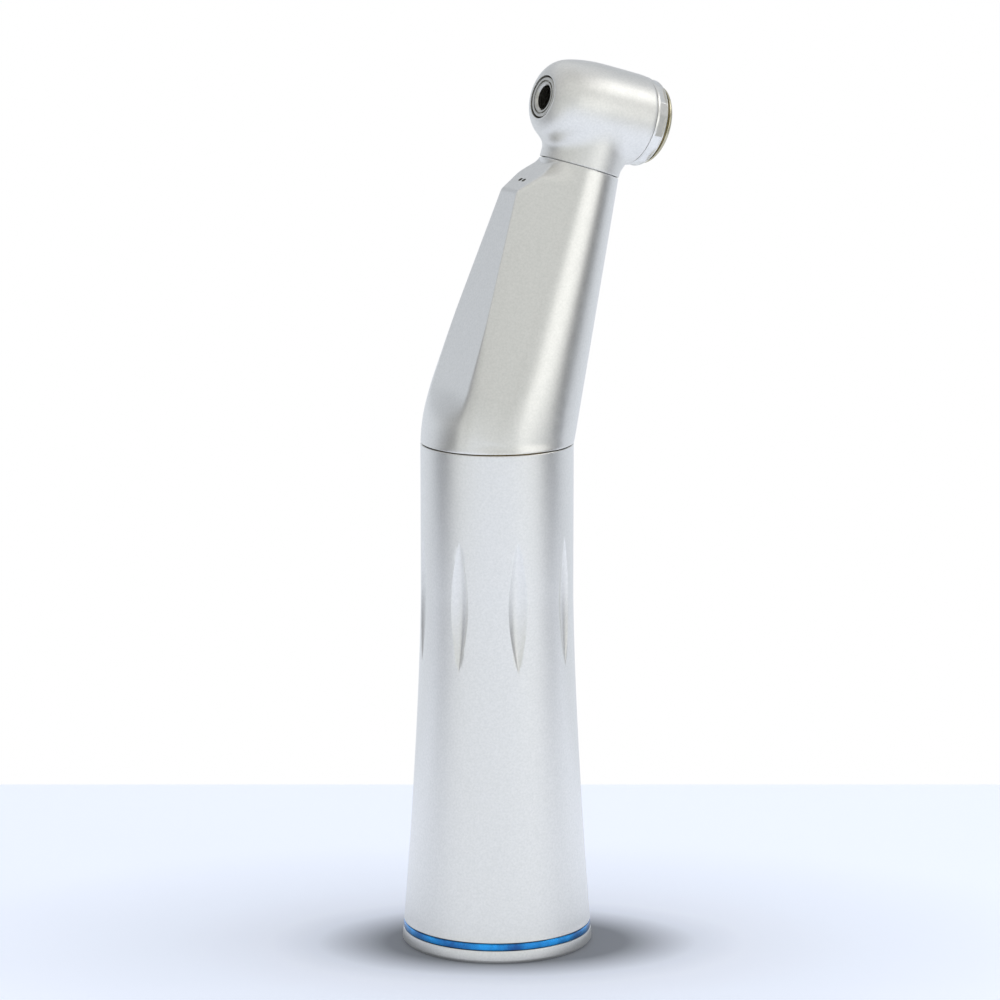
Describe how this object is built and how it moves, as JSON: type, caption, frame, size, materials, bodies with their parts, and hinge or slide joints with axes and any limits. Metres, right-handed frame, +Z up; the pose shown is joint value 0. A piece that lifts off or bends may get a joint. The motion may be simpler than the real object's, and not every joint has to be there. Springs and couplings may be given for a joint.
{
  "type": "contra angle handpiece",
  "caption": "Slim contra-angle dental handpiece with a bent neck, push-button chuck head and geared drive.",
  "frame": {"origin": "centre of the rear face, on the handle's axis", "axes": "+Z up the handle towards the head; the neck leans to +X and the bur points to -X; Y = 0 is the plane of symmetry"},
  "size_m": [0.028, 0.019, 0.0879],
  "materials": {
    "satin_steel": "satin, fine matt plating",
    "blue_anodised": "gloss blue anodising",
    "machined_steel": "fine turned",
    "gear_steel": "ground",
    "spring_steel": "drawn",
    "brass": "turned",
    "cage_brass": "turned",
    "race_steel": "polished",
    "button_gold": "pale gold, fine turned",
    "black_rubber": "matt"
  },
  "bodies": {
    "casing": {"rear_collar": "satin_steel", "ratio_ring": "blue_anodised", "handle_sleeve": "satin_steel", "coupling_tube": "machined_steel", "bearing_holder": "machined_steel", "bearing_clip": "spring_steel", "joint_nut": "brass", "joint_seal": "black_rubber", "water_tube": "machined_steel", "neck_sleeve": "satin_steel", "neck_tube": "machined_steel", "head_housing": "satin_steel", "head_cap": "satin_steel", "button_spring": "spring_steel", "shim_washer": "spring_steel", "rear_bearing_a_outer_race": "race_steel", "rear_bearing_b_outer_race": "race_steel", "neck_bearing_a_outer_race": "race_steel", "neck_bearing_b_outer_race": "race_steel", "head_bearing_a_outer_race": "race_steel", "head_bearing_b_outer_race": "race_steel"},
    "rear_rotor": {"rear_shaft": "machined_steel", "rear_gear": "gear_steel", "dog_pin": "gear_steel", "dog_spring": "spring_steel", "rear_bearing_a_inner_race": "race_steel", "rear_bearing_b_inner_race": "race_steel"},
    "dog": {"drive_dog": "gear_steel"},
    "neck_rotor": {"neck_shaft": "machined_steel", "neck_gear": "gear_steel", "neck_pinion": "gear_steel", "neck_bearing_a_inner_race": "race_steel", "neck_bearing_b_inner_race": "race_steel"},
    "chuck_rotor": {"chuck_spindle": "machined_steel", "bur_collet": "spring_steel", "chuck_gear": "gear_steel", "head_bearing_a_inner_race": "race_steel", "head_bearing_b_inner_race": "race_steel"},
    "plunger": {"release_plunger": "gear_steel"},
    "button": {"push_button": "button_gold"},
    "rear_bearing_a_balls": {"rear_bearing_a_cage": "cage_brass"},
    "rear_bearing_b_balls": {"rear_bearing_b_cage": "cage_brass"},
    "neck_bearing_a_balls": {"neck_bearing_a_cage": "cage_brass"},
    "neck_bearing_b_balls": {"neck_bearing_b_cage": "cage_brass"},
    "head_bearing_a_balls": {"head_bearing_a_cage": "cage_brass"},
    "head_bearing_b_balls": {"head_bearing_b_cage": "cage_brass"}
  },
  "joints": [
    {"name": "rear_spin", "type": "hinge", "parent": "casing", "child": "rear_rotor", "pos_m": [0, 0, 0.038], "axis": [0, 0, 1], "continuous": true},
    {"name": "dog_slide", "type": "slide", "parent": "rear_rotor", "child": "dog", "axis": [0, 0, 1], "range_m": [0, 0.0013], "stiffness_N_per_m": 150, "springref_m": -0.0005, "deforming": ["dog_spring"]},
    {"name": "neck_spin", "type": "hinge", "parent": "casing", "child": "neck_rotor", "pos_m": [0.00528, 0, 0.06526], "axis": [0.3107, 0, 0.9505], "continuous": true},
    {"name": "chuck_spin", "type": "hinge", "parent": "casing", "child": "chuck_rotor", "pos_m": [0.011, 0, 0.08275], "axis": [-0.9641, 0, 0.2656], "continuous": true},
    {"name": "plunger_slide", "type": "slide", "parent": "chuck_rotor", "child": "plunger", "axis": [-0.9641, 0, 0.2656], "range_m": [0, 0.0004]},
    {"name": "button_press", "type": "slide", "parent": "casing", "child": "button", "axis": [-0.9641, 0, 0.2656], "range_m": [0, 0.0004], "stiffness_N_per_m": 150, "springref_m": -0.0005, "deforming": ["button_spring"]},
    {"name": "rear_bearing_a_roll", "type": "hinge", "parent": "casing", "child": "rear_bearing_a_balls", "pos_m": [0, 0, 0.0328], "axis": [0, 0, 1], "continuous": true},
    {"name": "rear_bearing_b_roll", "type": "hinge", "parent": "casing", "child": "rear_bearing_b_balls", "pos_m": [0, 0, 0.0432], "axis": [0, 0, 1], "continuous": true},
    {"name": "neck_bearing_a_roll", "type": "hinge", "parent": "casing", "child": "neck_bearing_a_balls", "pos_m": [0.00143, 0, 0.05347], "axis": [0.3107, 0, 0.9505], "continuous": true},
    {"name": "neck_bearing_b_roll", "type": "hinge", "parent": "casing", "child": "neck_bearing_b_balls", "pos_m": [0.0092, 0, 0.07724], "axis": [0.3107, 0, 0.9505], "continuous": true},
    {"name": "head_bearing_a_roll", "type": "hinge", "parent": "casing", "child": "head_bearing_a_balls", "pos_m": [0.01471, 0, 0.08173], "axis": [-0.9641, 0, 0.2656], "continuous": true},
    {"name": "head_bearing_b_roll", "type": "hinge", "parent": "casing", "child": "head_bearing_b_balls", "pos_m": [0.00738, 0, 0.08374], "axis": [-0.9641, 0, 0.2656], "continuous": true}
  ],
  "couplings": [
    {"joint": "neck_spin", "follows": "rear_spin", "ratio": 1},
    {"joint": "chuck_spin", "follows": "rear_spin", "ratio": -1},
    {"joint": "plunger_slide", "follows": "button_press", "ratio": 1},
    {"joint": "rear_bearing_a_roll", "follows": "rear_spin", "ratio": 0.43},
    {"joint": "rear_bearing_b_roll", "follows": "rear_spin", "ratio": 0.43},
    {"joint": "neck_bearing_a_roll", "follows": "rear_spin", "ratio": 0.43},
    {"joint": "neck_bearing_b_roll", "follows": "rear_spin", "ratio": 0.43},
    {"joint": "head_bearing_a_roll", "follows": "rear_spin", "ratio": -0.43},
    {"joint": "head_bearing_b_roll", "follows": "rear_spin", "ratio": -0.43}
  ]
}
